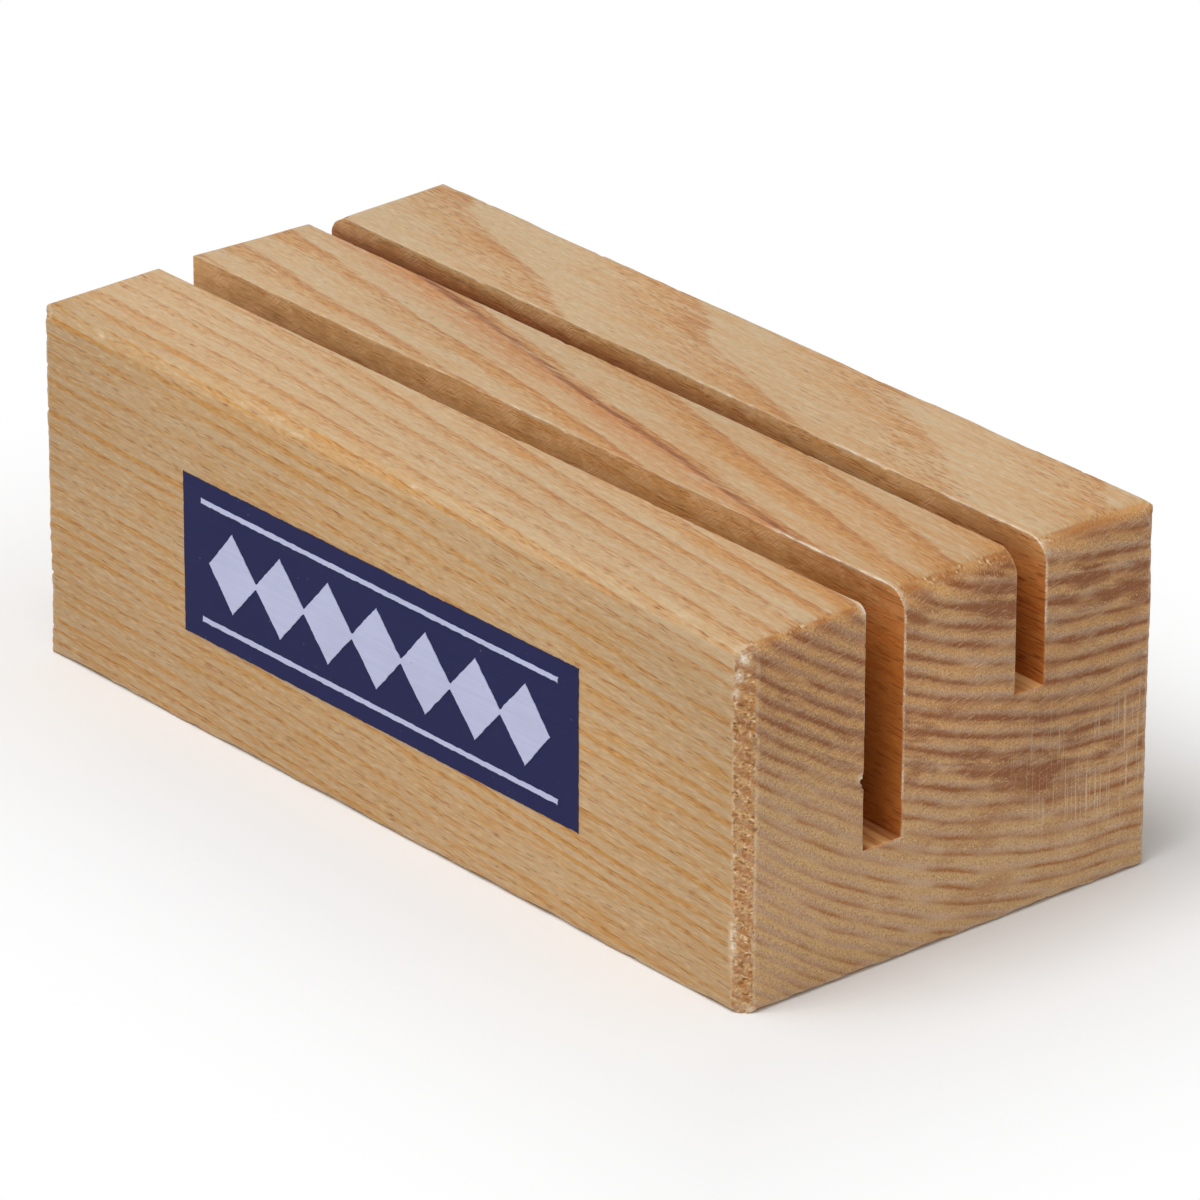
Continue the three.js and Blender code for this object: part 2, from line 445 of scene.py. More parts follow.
def ring_ends(wood):
    """Ring bands: golden where a year begins, greyer later on, and a rusty line where it closes."""
    graph, outer_years, rear = wood.graph, wood.outer_years, wood.rear
    band = wood.grey * (0.9 + 2.0 * wood.blush) + (1.2 - 1.8 * rear) * wood.mottle
    band = band + 0.5 * wood.weave + (0.3 + 0.4 * wood.inner_years) * wood.strokes
    golden = graph.mix(outer_years, BAND_GOLDEN_INNER, BAND_GOLDEN_OUTER)
    greyish = graph.mix(outer_years, BAND_GREY_INNER, BAND_GREY_OUTER)
    greyish = graph.mix(rear * 0.6, greyish, BAND_GREY_REAR)
    rust = graph.mix(outer_years, RUST_INNER, RUST_OUTER)
    colour = graph.mix(graph.clip(band), golden, greyish)
    closing = graph.curve(wood.phase, CLOSING_LINE)
    rusty = closing * (0.55 - 0.1 * outer_years + 0.1 * rear + 3.0 * wood.strength)
    rusty = rusty + 0.35 * wood.inner_years * wood.late * (1.0 + 2.5 * wood.blush)
    colour = graph.mix(graph.clip(rusty), colour, rust)
    return end_marks(wood, clouds_and_specks(wood, colour))


def clouds_and_specks(wood, colour):
    """Brown clouds in two groups of years, and the specks that the ends of the fibres make."""
    graph, growth, mottle, rear = wood.graph, wood.growth, wood.mottle, wood.rear
    brown = graph.step(3.4, 0.6, abs(growth + 10.3)) + graph.step(3.4, 0.8, abs(growth + 19.3))
    cloud = brown * (0.3 * rear + 2.6 * wood.blush + 2.4 * mottle) + (0.4 + 1.8 * rear) * mottle
    cloud = graph.clip(cloud)
    colour = graph.mix(cloud, colour, BROWN_CLOUD)
    plain = 1.0 - 0.4 * rear
    colour = graph.mix(graph.step(0.04, 0.22, wood.weave) * plain * (0.32 - 0.25 * cloud), colour, PALE_SPECK)
    return graph.mix(graph.step(-0.04, -0.22, wood.weave) * plain * 0.35, colour, DARK_SPECK)


def end_marks(wood, colour):
    """Saw strokes in the late wood, pores, and upright scratches low down at the rear."""
    graph, x, y, z = wood.graph, wood.x, wood.y, wood.z
    struck = (0.2 + 0.8 * wood.late) * wood.inner_years
    colour = graph.mix(graph.step(0.05, 0.2, wood.strokes) * struck * 0.6, colour, DARK_STROKE)
    colour = graph.mix(graph.step(-0.07, -0.22, wood.strokes) * struck * 0.45, colour, PALE_STROKE)
    colour = graph.mix(wood.vessel * 0.4, colour, PORE)
    colour = graph.mix(wood.filled * (0.05 + 0.4 * wood.early), colour, FILLED_PORE)
    scratch = graph.step(0.1, 0.26, graph.noise(x / 4, y / 0.25, z / 9)) * graph.step(4, 24, y)
    colour = graph.mix(scratch * 0.55 * graph.step(15, 6, abs(z - 17)), colour, SCRATCH)
    upper_rear = graph.step(-5, 30, y) * graph.step(10, 26, z)
    return graph.brighten(colour, 0.95 + 0.05 * wood.rear - 0.14 * upper_rear)


def soaked_edges(wood, colour):
    """Edges of the ends: soaked with lacquer, orange, and pitted except in some stretches of the top."""
    graph, edge = wood.graph, wood.edge
    soaked = graph.mix(wood.grey, SOAKED_EARLY, SOAKED_LATE)
    soaked = graph.mix(graph.step(-60, -70, wood.x) * 0.7, soaked, SOAKED_LEFT)
    colour = graph.mix(edge * 0.85, colour, soaked)
    smooth = graph.step(0.3, 0.6, wood.upward) * graph.step(0.12, -0.02, wood.strength)
    pitted = edge * (1.0 - 0.7 * wood.grey) * (1.0 - smooth)
    colour = graph.mix(pitted * graph.step(0.03, 0.13, wood.pit), colour, DARK_PIT)
    return graph.mix(pitted * graph.step(-0.06, -0.18, wood.pit), colour, PALE_PIT)


def slot_walls(wood, colour):
    """Inside of the slots: hairy at the mouth, with painted shade further down and toward the right end over
    the raw wood's deeper orange, and painted light where the right end opens.
    """
    graph, x, y = wood.graph, wood.x, wood.y
    depth = HEIGHT - wood.z
    level_floor = graph.step(0.5, 0.9, wood.upward)
    upright = 1.0 - level_floor
    # deep grows with depth and toward the right end: it carries the raw wood's deeper orange and painted
    # shade.
    deep = graph.step(1, 19, depth + 9.0 * graph.step(35, 70, x)) * (1.0 - 0.7 * level_floor)
    narrow = graph.step(WIDE.back + 2, NARROW.front - 2, y)
    # Painted shade: the narrow slot darkens below its mouth, most to the left, over a slightly redder wall.
    narrow_shade = narrow * graph.step(0.2, 3.2, depth) * (0.1 + 0.9 * graph.step(45, -25, x)) * upright
    wall = sawn_wood(wood, colour, depth, deep, narrow)
    # Painted light and shade: brighter and warmer at the mouth, darker and redder deep down, partly the raw
    # wood's own colour.
    wall = graph.tint(wall, graph.mix(deep, MOUTH_WOOD_AND_LIGHT_TINT, DEEP_WOOD_AND_SHADE_TINT))
    wall = graph.mix(narrow_shade, wall, graph.tint(wall, NARROW_SHADE_TINT))
    tufts = graph.step(0.04, 0.2, wood.hair) * wood.rough * graph.step(4.5, 0.5, depth)
    wall = graph.mix(tufts * 0.35, wall, SAWN_TUFT)
    wall = graph.mix(level_floor, wall, slot_floor(wood))
    # Painted shade: darker a little below the mouth, more in the narrow slot, deep down and to the left;
    # painted light where the slot opens at the right end. The patches are the wood's own.
    shade = 1.06 - (0.12 + 0.18 * narrow) * graph.step(0.5, 4.5, depth) * (1.0 - deep) * upright
    shade = shade - 0.1 * graph.step(0, -55, x) + deep * (0.35 * graph.step(63, END, x) - 0.2)
    return graph.brighten(wall, shade + 0.35 * wood.patch)


def sawn_wood(wood, colour, depth, deep, narrow):
    """Wood as the saw left it: dashes, pits by the mouth, filled vessels and rough patches."""
    graph = wood.graph
    dash = graph.step(0.12, 0.22, graph.noise(wood.x / 3.5, wood.y / 0.3, wood.z / 0.32))
    pits = graph.step(0.14, 0.24, wood.pit) * graph.step(2.2, 0.5, depth)
    wall = graph.mix(0.55, colour, SAWN_WOOD)
    wall = graph.mix(dash * (0.2 + 0.25 * deep + 0.15 * narrow), wall, SAWN_DASH)
    wall = graph.mix(pits * 0.6, wall, SAWN_PIT)
    wall = graph.mix(wood.filled * 0.4, wall, SAWN_VESSEL)
    return graph.mix(wood.rough * (0.3 - 0.3 * deep), wall, SAWN_PATCH)


def slot_floor(wood):
    """Fibrous floor of a slot, with painted shade in the corners of the wide one."""
    graph, y = wood.graph, wood.y
    fibrous = graph.mix(graph.clip(0.5 + 3.0 * wood.line), FLOOR_PALE, FLOOR_DARK)
    by_back = graph.step(WIDE.back - 2.4, WIDE.back - 0.6, y)
    by_front = graph.step(WIDE.front + 1.6, WIDE.front + 0.3, y)
    # Painted shade in the floor's corners beside the walls of the wide slot.
    corner = graph.clip(by_back + by_front) * graph.step(WIDE.floor + 4, WIDE.floor + 2, wood.z)
    return graph.mix(corner * 0.7, fibrous, FLOOR_CORNER_SHADE)


def worn_fibres(wood, colour):
    """Broken fibres are pale, the most broken ones nearly white. A hole, where wear is below 0, is dark."""
    graph = wood.graph
    worn = graph.attribute("wear")
    frayed = graph.clip(worn * (1.0 + 2.5 * wood.tube))
    colour = graph.mix(frayed, colour, graph.mix(graph.step(0.7, 1.0, worn), PALE_FIBRES, WHITE_FIBRES))
    return graph.mix(graph.clip(-1.5 * worn), colour, HOLE)


def lacquered_ash():
    """Ring-porous wood that runs through the whole block, under a clear satin lacquer."""
    graph = Graph("lacquered_ash")
    wood = Wood(graph)
    end, inside, fibre = wood.end, wood.inside, wood.fibre
    colour = graph.mix(end, long_faces(wood), ring_ends(wood))
    colour = soaked_edges(wood, colour)
    colour = graph.mix(inside, colour, slot_walls(wood, colour))
    colour = worn_fibres(wood, colour)
    tone = graph.noise(wood.x / 80, wood.y / 28, wood.z / 28, 1.0)
    colour = graph.brighten(colour, 1.0 + (0.33 + 0.5 * end) * fibre + 0.3 * tone + 0.25 * end * wood.mottle)
    graph.feed(graph.shader.inputs["Base Color"], colour)
    graph.feed(graph.shader.inputs["Roughness"], 0.48 + 0.12 * end + 0.2 * inside - 0.3 * fibre)
    graph.feed(graph.shader.inputs["Specular IOR Level"], 0.25)
    height = 0.03 * fibre - 0.04 * wood.vessel + 0.05 * end * wood.weave - 0.12 * wood.edge * wood.pit
    graph.bump(height + 0.08 * inside * wood.rough * wood.hair)
    return graph.material


def screen_ink(name, body, fleck):
    """A printed film that lies close on the wood: its grain shows through, with a few bare flecks."""
    graph = Graph(name)
    x, y, z = graph.millimetres()
    grain = graph.noise(x / 12, y / 0.4, z / 0.4, 1.0)
    cloud = graph.noise(x / 9, y / 9, z / 9, 2.0)
    bare = graph.step(0.36, 0.39, graph.noise(x / 0.5, y / 0.5, z / 0.35))
    colour = graph.brighten(graph.mix(bare, body, fleck), 1.0 + 0.14 * grain + 0.12 * cloud)
    graph.feed(graph.shader.inputs["Base Color"], colour)
    graph.feed(graph.shader.inputs["Roughness"], 0.6 + 0.3 * grain)
    graph.feed(graph.shader.inputs["Specular IOR Level"], 0.08)
    graph.bump(0.02 * grain)
    return graph.material


# Spacing of the block's mesh: fine in a band beside the edges, where the wood is eased and chipped.
FINE_STEP = 0.35
ALONG_STEP = 0.55
UP_STEP = 0.5
WIDE_STEP = 1.5
EDGE_BAND = 3.0
END_BAND = 5.0
EDGE_LINE = 0.15
SLOT_STATIONS = 5

# Space between the faces on the sheet for pictures of the surface.
SHEET_GAP = 2.0

# Places nearer to each other than this count as one.
SAME = 1e-4

# How far from a face it turns the way in which points move. Slot faces turn it little, so they stay flat.
EDGE_REACH = 5.0
SLOT_PULL = 0.15

# Faces whose normals are nearer than this to each other meet in a smooth edge.
SMOOTH_ANGLE = math.radians(50)

# Bite that the saw tore out of the wide slot's front edge, on the right end: heights and depths.
NOTCH_HEIGHTS = (25.6, 25.8, 26.1, 26.4, 26.8, 27.1, 27.3, 27.6, 27.9)
NOTCH_DEPTHS = (0.0, 0.4, 0.3, 0.75, 0.6, 0.65, 0.15, 0.25, 0.0)

# Crushed spots of the right front edge: how far in from the end and down from the top, and how large.
CRUSHED_SPOTS = ((0.5, 1.3, 1.2), (1.4, 4.5, 0.8), (1.8, 6.9, 0.6))

# Large odd numbers that scatter the places of a lattice.
SCATTER_X, SCATTER_Y, SCATTER_Z = 73856093, 19349663, 83492791
SCATTER_SEED = 2654435761
SCATTER_AGAIN = 1274126177


def lattice_noise(points, cell, seed):
    """Smooth noise from 0 to 1 at points, with one lattice step per cell (x, y, z), the same on every run."""
    grid = points / np.asarray(cell, float)
    base = np.floor(grid).astype(np.int64)
    part = grid - base
    part = part * part * (3 - 2 * part)
    total = np.zeros(len(points))
    for corner in np.ndindex(2, 2, 2):
        x, y, z = (base + corner).T
        key = x * SCATTER_X ^ y * SCATTER_Y ^ z * SCATTER_Z ^ seed * SCATTER_SEED
        key = (key ^ (key >> 13)) * SCATTER_AGAIN & 0xFFFFFFFF
        value = ((key ^ (key >> 16)) & 0xFFFF) / 0xFFFF
        weight = np.where(corner, part, 1 - part).prod(axis=1)
        total += weight * value
    return total


def smooth_step(low, high, value):
    share = np.clip((value - low) / (high - low), 0, 1)
    return share * share * (3 - 2 * share)


def stations(start, stop, fine_start, fine_stop, step, band):
    """Places from start to stop, a fine step apart within a band of the ends that ask for it."""
    marks = [start]
    steps = []
    if fine_start:
        marks.append(start + band)
        steps.append(FINE_STEP)
    steps.append(step)
    if fine_stop:
        marks.append(stop - band)
        steps.append(FINE_STEP)
    marks.append(stop)
    runs = []
    for low, high, pace in zip(marks, marks[1:], steps):
        runs.append(np.linspace(low, high, max(2, round((high - low) / pace) + 1)))
    return in_order(runs)


def in_order(runs):
    """Runs of places as one row in order, without repeats."""
    return np.unique(np.concatenate(runs).round(6))


XS = in_order([
    stations(-END, END, True, True, ALONG_STEP, END_BAND),
    [-END + EDGE_LINE, END - EDGE_LINE],
])
YS = in_order([
    stations(FRONT, WIDE.front, True, True, WIDE_STEP, EDGE_BAND),
    np.linspace(WIDE.front, WIDE.back, SLOT_STATIONS),
    stations(WIDE.back, NARROW.front, True, True, WIDE_STEP, EDGE_BAND),
    np.linspace(NARROW.front, NARROW.back, SLOT_STATIONS),
    stations(NARROW.back, BACK, True, True, WIDE_STEP, EDGE_BAND),
    [WIDE.front - EDGE_LINE, WIDE.back + EDGE_LINE, NARROW.front - EDGE_LINE, NARROW.back + EDGE_LINE],
])
ZS = in_order([
    stations(0, WIDE.floor, True, False, UP_STEP, EDGE_BAND),
    stations(WIDE.floor, NARROW.floor, False, False, UP_STEP, EDGE_BAND),
    stations(NARROW.floor, HEIGHT, False, True, UP_STEP, END_BAND),
    [WIDE.floor - EDGE_LINE, NARROW.floor - EDGE_LINE, HEIGHT - EDGE_LINE],
    NOTCH_HEIGHTS,
])


class FaceSheet:
    """Lays the block's faces on one square sheet, in two columns, for pictures of its whole surface."""

    def __init__(self):
        self.filled = [0.0, 0.0]
        self.side = 2 * LENGTH + SHEET_GAP

    def corner(self, height):
        """Lower corner of the place for the next face of this height."""
        column = int(np.argmin(self.filled))
        corner = np.array([column * (LENGTH + SHEET_GAP), self.filled[column]])
        self.filled[column] += height + SHEET_GAP
        return corner


class BlockFaces:
    """The block's sharp faces as grids that share their border points, before the edges are eased."""

    def __init__(self):
        self.sheet = FaceSheet()
        self.counts = []
        self.keys = []
        self.spots = []

    def add(self, keys, spots, corners, flip):
        """Adds polygons, each a row of corners (i, j) in a face's grid."""
        for i, j in corners:
            order = slice(None, None, -1 if flip else 1)
            self.counts.append(len(i))
            self.keys.append(keys[i, j][order])
            self.spots.append(spots[i, j][order])

    def rectangle(self, axis, place, first, second, outward, corner, origin=None):
        """Adds one flat face. first and second are its stations along the two other axes."""
        others = [other for other in range(3) if other != axis]
        grids = np.meshgrid(first, second, indexing="ij")
        places = {axis: np.full(grids[0].shape, place), **dict(zip(others, grids))}
        index = [np.searchsorted(line, places[k] - SAME) for k, line in enumerate((XS, YS, ZS))]
        keys = (index[0] * len(YS) + index[1]) * len(ZS) + index[2]
        start = (first[0], second[0]) if origin is None else origin
        spots = (corner + np.stack(grids, axis=-1) - start) / self.sheet.side
        flip = (outward > 0) == (axis == 1)
        i0, i1 = inner(first, others[0])
        j0, j1 = inner(second, others[1])
        plain = np.zeros((len(first) - 1, len(second) - 1), bool)
        if i1 - i0 > 1 and j1 - j0 > 1:
            plain[i0:i1, j0:j1] = True
            self.add(keys, spots, [ring_round(i0, i1, j0, j1)], flip)
        quads = [(i + np.array([0, 1, 1, 0]), j + np.array([0, 0, 1, 1])) for i, j in np.argwhere(~plain)]
        self.add(keys, spots, quads, flip)


def inner(line, axis):
    """First and last station of the plain middle of a face, which stays one polygon."""
    band = END_BAND if axis == 0 else EDGE_BAND
    low = np.searchsorted(line, line[0] + band - SAME)
    high = np.searchsorted(line, line[-1] - band + SAME) - 1
    return int(low), int(high)


def ring_round(i0, i1, j0, j1):
    """Grid places (i, j) round the border of a middle part of a grid, once about."""
    across = np.arange(i0, i1)
    up = np.arange(j0, j1)
    ring_i = np.concatenate([across, np.full(len(up), i1), across[::-1] + 1, np.full(len(up), i0)])
    ring_j = np.concatenate([np.full(len(across), j0), up, np.full(len(across), j1), up[::-1] + 1])
    return ring_i, ring_j


def between(line, low, high):
    return line[(line > low - SAME) & (line < high + SAME)]


def block_faces():
    """All flat faces of the slotted block."""
    faces = BlockFaces()
    sheet = faces.sheet
    faces.rectangle(1, FRONT, XS, ZS, -1, sheet.corner(HEIGHT))
    faces.rectangle(1, BACK, XS, ZS, 1, sheet.corner(HEIGHT))
    faces.rectangle(2, 0.0, XS, YS, -1, sheet.corner(DEPTH))
    walls = [(FRONT, WIDE.front), (WIDE.back, NARROW.front), (NARROW.back, BACK)]
    for low, high in walls:
        faces.rectangle(2, HEIGHT, XS, between(YS, low, high), 1, sheet.corner(high - low))
    for slot in (WIDE, NARROW):
        rise = between(ZS, slot.floor, HEIGHT)
        faces.rectangle(1, slot.front, XS, rise, 1, sheet.corner(HEIGHT - slot.floor))
        faces.rectangle(1, slot.back, XS, rise, -1, sheet.corner(HEIGHT - slot.floor))
        width = slot.back - slot.front
        faces.rectangle(2, slot.floor, XS, between(YS, slot.front, slot.back), 1, sheet.corner(width))
    parts = [
        (FRONT, BACK, 0, WIDE.floor),
        (FRONT, WIDE.front, WIDE.floor, HEIGHT),
        (WIDE.back, BACK, WIDE.floor, NARROW.floor),
        (WIDE.back, NARROW.front, NARROW.floor, HEIGHT),
        (NARROW.back, BACK, NARROW.floor, HEIGHT),
    ]
    for end in (-END, END):
        corner = sheet.corner(HEIGHT)
        for near, far, low, high in parts:
            ys = between(YS, near, far)
            zs = between(ZS, low, high)
            faces.rectangle(0, end, ys, zs, np.sign(end), corner, (FRONT, 0))
    return faces


def block_planes(points):
    """Distance of each point from the planes of the block's faces, with the planes' outward normals."""
    x, y, z = points.T
    planes = {
        "end": (END - abs(x), (np.sign(x), 0, 0)),
        "front": (y - FRONT, (0, -1, 0)),
        "back": (BACK - y, (0, 1, 0)),
        "top": (HEIGHT - z, (0, 0, 1)),
        "foot": (z, (0, 0, -1)),
    }
    for name, slot in (("wide", WIDE), ("narrow", NARROW)):
        above = z > slot.floor - SAME
        before = above & (y < slot.front + SAME)
        behind = above & (y > slot.back - SAME)
        under = (y > slot.front - SAME) & (y < slot.back + SAME) & (z < slot.floor + SAME)
        planes[name + "_front"] = (np.where(before, slot.front - y, np.inf), (0, 1, 0))
        planes[name + "_back"] = (np.where(behind, y - slot.back, np.inf), (0, -1, 0))
        planes[name + "_floor"] = (np.where(under, slot.floor - z, np.inf), (0, 0, 1))
    return planes


class EasedBlock:
    """Moves points of the sharp block inward, onto its chamfers, rounds and chips, and marks its wear."""

    def __init__(self, points):
        self.points = points
        self.push = np.zeros(len(points))
        self.wear = np.zeros(len(points))
        self.slow = lattice_noise(points, (9, 9, 9), 1) - 0.5
        self.quick = lattice_noise(points, (2.2, 0.9, 0.9), 2) - 0.5
        self.chips = smooth_step(0.72, 0.95, lattice_noise(points, (1.6, 0.8, 0.8), 3))
        self.patches = smooth_step(0.35, 0.75, lattice_noise(points, (7, 4, 4), 4))
        self.threads = lattice_noise(points, (1.1, 0.6, 0.6), 5)
        self.planes = block_planes(points)
        outward = np.zeros((len(points), 3))
        for name, (distance, normal) in self.planes.items():
            weight = np.clip(1 - distance / EDGE_REACH, 0, 1)
            weight *= SLOT_PULL if "_" in name else 1
            outward += weight[:, None] * self.spread(normal)
        self.outward = outward / np.linalg.norm(outward, axis=1, keepdims=True)

    def spread(self, normal):
        return np.stack([np.broadcast_to(part, len(self.points)) for part in normal], axis=1).astype(float)

    def varied(self, size, slow, quick, chips=0.0):
        """A size that varies over the block: slowly, quickly and where chips are out."""
        return size + slow * self.slow + quick * self.quick + chips * self.chips

    def cut(self, first, second, angle, depth):
        """Pushes points below a plane that turns by angle from the first face to the second."""
        turned = math.cos(angle) * self.spread(self.planes[first][1])
        turned = turned + math.sin(angle) * self.spread(self.planes[second][1])
        facing = np.maximum((turned * self.outward).sum(axis=1), 0.25)
        self.push = np.maximum(self.push, np.where(depth > 0, depth / facing, 0))

    def chamfer(self, first, second, leg):
        near, far = self.planes[first][0], self.planes[second][0]
        self.cut(first, second, math.pi / 4, (leg - near - far) * math.sqrt(0.5))

    def round_over(self, first, second, radius, steps=6):
        near, far = self.planes[first][0], self.planes[second][0]
        for step in range(1, steps):
            angle = math.pi / 2 * step / steps
            depth = (radius - near) * math.cos(angle) + (radius - far) * math.sin(angle) - radius
            self.cut(first, second, angle, np.where(np.maximum(near, far) < radius, depth, -1))

    def mark(self, amount):
        """Marks broken pale fibres, from 0 to 1."""
        self.wear = np.maximum(self.wear, np.clip(amount, 0, 1))

    def fray(self, first, second, width, amount):
        """Marks broken fibres along an edge."""
        reach = self.planes[first][0] + self.planes[second][0]
        self.mark(amount * np.clip(1 - reach / width, 0, 1))

    def rim(self, first, second, leg, width, amount):
        """Marks broken fibres where a chamfer of this leg meets its two faces."""
        reach = abs(self.planes[first][0] + self.planes[second][0] - leg)
        self.mark(amount * np.clip(1 - reach / width, 0, 1))

    def near(self, place, radius):
        """1 at a place, falling to 0 some radii away."""
        away = (self.points - place) / radius
        return np.exp(-(away * away).sum(axis=1))

    def moved(self):
        return self.points - self.outward * self.push[:, None]


def ease_outer_edges(block):
    """Upright chamfers, softened long edges, a hardly broken foot, and ends rounded over at the top."""
    threads = block.threads
    for face in ("front", "back"):
        upright = block.varied(UPRIGHT_CHAMFER, 0.4, 0.25, 0.5)
        block.chamfer("end", face, upright)
        block.rim("end", face, upright, 0.35, 0.7 * threads)
        block.chamfer(face, "top", block.varied(TOP_CHAMFER, 0.5, 0.2, 0.3))
        block.round_over(face, "top", block.varied(TOP_ROUND, 0.4, 0.0))
        block.chamfer(face, "foot", block.varied(FOOT_CHAMFER, 0.3, 0.3))
        block.fray(face, "top", 1.4, 0.8 * block.chips * block.patches)
        # Pale frayed fibres on the foot: partly chips, partly painted light that lifts the shade of the
        # downward chamfer.
        block.fray(face, "foot", 0.9, 0.6 * threads)
    block.chamfer("end", "foot", block.varied(FOOT_CHAMFER, 0.3, 0.4))
    # Pale frayed fibres on the foot: partly chips, partly painted light that lifts the shade of the downward
    # chamfer.
    block.fray("end", "foot", 1.1, np.clip(0.1 + 0.9 * threads, 0, 1))
    x, y, _ = block.points.T
    right = np.interp(y, ROUND_PLACES, RIGHT_ROUNDS)
    left = np.interp(y, ROUND_PLACES, LEFT_ROUNDS)
    block.round_over("end", "top", block.varied(np.where(x > 0, right, left), 0.4, 0.0))


def tear_slot_edges(block):
    """Slot edges: torn where the saw came through, most at the top of the right end."""
    x, _, z = block.points.T
    threads = block.threads
    tufts = threads * block.patches
    notch = np.interp(z, NOTCH_HEIGHTS, NOTCH_DEPTHS) * (x > 0)
    right_top = smooth_step(45, END, x) * smooth_step(36, 47, z)
    for name in ("wide", "narrow"):
        for side in ("_front", "_back"):
            wall = name + side
            torn = np.clip(1.6 * tufts, 0, 1) * smooth_step(-END, END, x)
            hairy = 0.15 + 1.5 * tufts
            if side == "_back":
                torn = np.clip(torn + (0.5 + right_top) * threads, 0, 1)
                hairy = hairy + right_top * threads
            bite = notch if wall == "wide_front" else 0
            block.chamfer(wall, "top", block.varied(SLOT_TOP_CHAMFER, 0.1, 0.15, 0.35))
            block.fray(wall, "top", 0.4, torn)
            block.chamfer("end", wall, block.varied(SLOT_END_CHAMFER, 0.0, 0.12, 0.2) + bite)
            block.fray("end", wall, 0.28 + 1.2 * bite, np.clip(hairy + bite, 0, 1))
        block.chamfer("end", name + "_floor", block.varied(SLOT_FLOOR_CHAMFER, 0.0, 0.15))
        block.fray("end", name + "_floor", 0.3, 0.5 * threads)


def mark_damage(block):
    """Single marks: a crushed corner, a chafed edge, fringes, a splinter, fuzzy slot corners and a hole."""
    threads = block.threads
    for inset, drop, size in CRUSHED_SPOTS:
        crushed = block.near((END - inset, FRONT, HEIGHT - drop), size)
        block.mark(1.5 * crushed * (0.2 + threads))
    chafed = block.near((END - UPRIGHT_CHAMFER, FRONT, 10), (0.6, 0.6, 3.2))
    block.mark(1.3 * chafed * threads)
    fringe = block.near((END, WIDE.front - 0.6, 27.4), (1.2, 0.5, 0.6))
    block.mark(fringe)
    splinter = block.near((END - 0.6, WIDE.front, HEIGHT - 0.6), (1.4, 0.5, 1.2))
    block.mark(1.4 * splinter)
    for slot in (WIDE, NARROW):
        fuzzy = block.near((END - 1.1, slot.back, HEIGHT - 1.1), (1.6, 0.6, 1.6))
        rounded = smooth_step(0.05, 0.4, block.push)
        block.mark(1.3 * fuzzy * rounded * (0.3 + threads))
    hole = block.near((-END + 1.6, NARROW.back + 0.6, HEIGHT), 0.6)
    block.push += 0.9 * hole
    block.wear = np.where(hole > 0.2, -hole, block.wear)


def sawn_share(points):
    """1 on the inside of the slots, fading out at their mouths, and 0 elsewhere."""
    _, y, z = points.T
    sawn = np.zeros(len(points))
    for slot in (WIDE, NARROW):
        within = (y > slot.front - SAME) & (y < slot.back + SAME) & (z > slot.floor - SAME)
        sawn = np.where(within, smooth_step(0, 0.4, HEIGHT - z), sawn)
    return sawn


def mesh_object(name, points, corners, counts):
    """A mesh from points in millimetres and polygons given as their corners in one row."""
    mesh = bpy.data.meshes.new(name)
    mesh.vertices.add(len(points))
    mesh.vertices.foreach_set("co", (points * MM).ravel())
    mesh.loops.add(len(corners))
    mesh.loops.foreach_set("vertex_index", np.asarray(corners, np.int32))
    mesh.polygons.add(len(counts))
    mesh.polygons.foreach_set("loop_start", np.concatenate([[0], np.cumsum(counts)[:-1]]).astype(np.int32))
    mesh.update(calc_edges=True)
    piece = bpy.data.objects.new(name, mesh)
    bpy.context.scene.collection.objects.link(piece)
    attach(piece, "root")
    return piece


def build_block():
    """The slotted block, eased and worn, with its wear and its sawn parts as attributes of its points."""
    faces = block_faces()
    keys, corners = np.unique(np.concatenate(faces.keys), return_inverse=True)
    ix, rest = np.divmod(keys, len(YS) * len(ZS))
    iy, iz = np.divmod(rest, len(ZS))
    points = np.stack([XS[ix], YS[iy], ZS[iz]], axis=1)
    eased = EasedBlock(points)
    ease_outer_edges(eased)
    tear_slot_edges(eased)
    mark_damage(eased)
    block = mesh_object("wooden_block", eased.moved(), corners, faces.counts)
    mesh = block.data
    for name, values in (("wear", eased.wear), ("sawn", sawn_share(points))):
        mesh.attributes.new(name, "FLOAT", "POINT").data.foreach_set("value", values)
    sheet = mesh.uv_layers.new(name="OFBake")
    sheet.data.foreach_set("uv", np.concatenate(faces.spots).ravel())
    mesh.polygons.foreach_set("use_smooth", np.ones(len(mesh.polygons), bool))
    mesh.set_sharp_from_angle(angle=SMOOTH_ANGLE)
    mesh.materials.append(lacquered_ash())
    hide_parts("holder_block")


# Print on the front: how the edges of its films run, and the lozenges of the row.
RAGGED_STEP = 0.3
RAGGED_DEPTH = 0.2
LOZENGE_COUNT = 7
LOZENGE_NECK = 0.8


def panel(left, right, low, high):
    """Outline of a plain rectangle."""
    return [(left, low), (right, low), (right, high), (left, high)]


def lozenge_row(left, right, low, high):
    """Outline of a row of lozenges that join at narrow necks."""
    middle = (low + high) / 2
    pitch = (right - left) / LOZENGE_COUNT
    upper = []
    for i in range(1, LOZENGE_COUNT):
        upper.append((left + (i - 0.5) * pitch, high))
        upper.append((left + i * pitch, middle + LOZENGE_NECK / 2))
    upper.append((right - 0.5 * pitch, high))
    lower = [(x, 2 * middle - z) for x, z in upper]
    return [(left, middle), *lower, (right, middle), *upper[::-1]]


